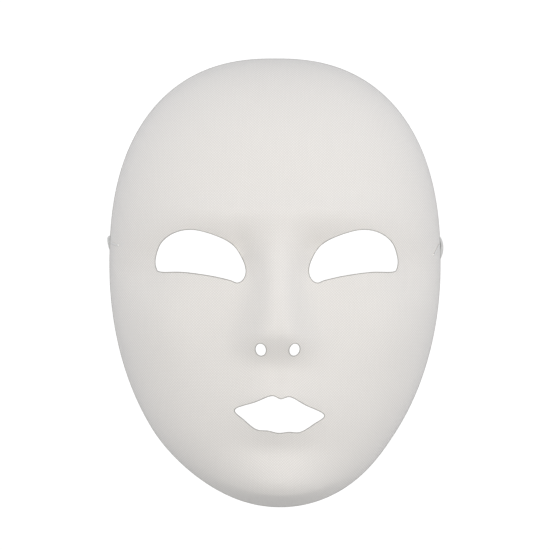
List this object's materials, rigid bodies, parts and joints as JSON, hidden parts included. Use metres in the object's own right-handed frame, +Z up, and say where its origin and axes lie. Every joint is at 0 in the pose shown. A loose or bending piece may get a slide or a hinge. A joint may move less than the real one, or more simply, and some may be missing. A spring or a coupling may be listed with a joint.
{
  "type": "full face mask",
  "caption": "Plain white cloth-faced full-face mask with cut eyes, nostrils and mouth, worn on a stapled elastic strap.",
  "frame": {"origin": "middle of the flat back rim's plane at the mask's widest level, where the wearer's head meets it", "axes": "-Y the way the face looks, +Z up the face, +X to the right of someone who looks at the face"},
  "size_m": [0.189, 0.1692, 0.25],
  "materials": {
    "white_plastic": "smooth vacuum-formed sheet",
    "white_cloth": "fine plain weave",
    "white_elastic": "woven elastic",
    "staple_steel": "drawn wire"
  },
  "bodies": {
    "mask": {"mask_shell": "white_plastic", "facing_cloth": "white_cloth", "staple_left": "staple_steel", "staple_right": "staple_steel", "strap_tab_left": "white_elastic", "strap_tab_right": "white_elastic"},
    "strap_sides": {"strap_flex_left": "white_elastic", "strap_flex_right": "white_elastic", "strap_run_left": "white_elastic", "strap_run_right": "white_elastic"},
    "strap_rear": {"strap_back": "white_elastic"}
  },
  "joints": [
    {"name": "strap_swing", "type": "hinge", "parent": "mask", "child": "strap_sides", "pos_m": [0, 0.005, 0.011], "axis": [1, 0, 0], "range_deg": [-60, 70], "stiffness_Nm_per_rad": 0.05, "springref_deg": 2.58, "deforming": ["strap_flex_left", "strap_flex_right"]},
    {"name": "strap_stretch", "type": "slide", "parent": "strap_sides", "child": "strap_rear", "axis": [0, 0.8746, -0.4848], "range_m": [0, 0.06], "stiffness_N_per_m": 60, "deforming": ["strap_run_left", "strap_run_right"]}
  ]
}
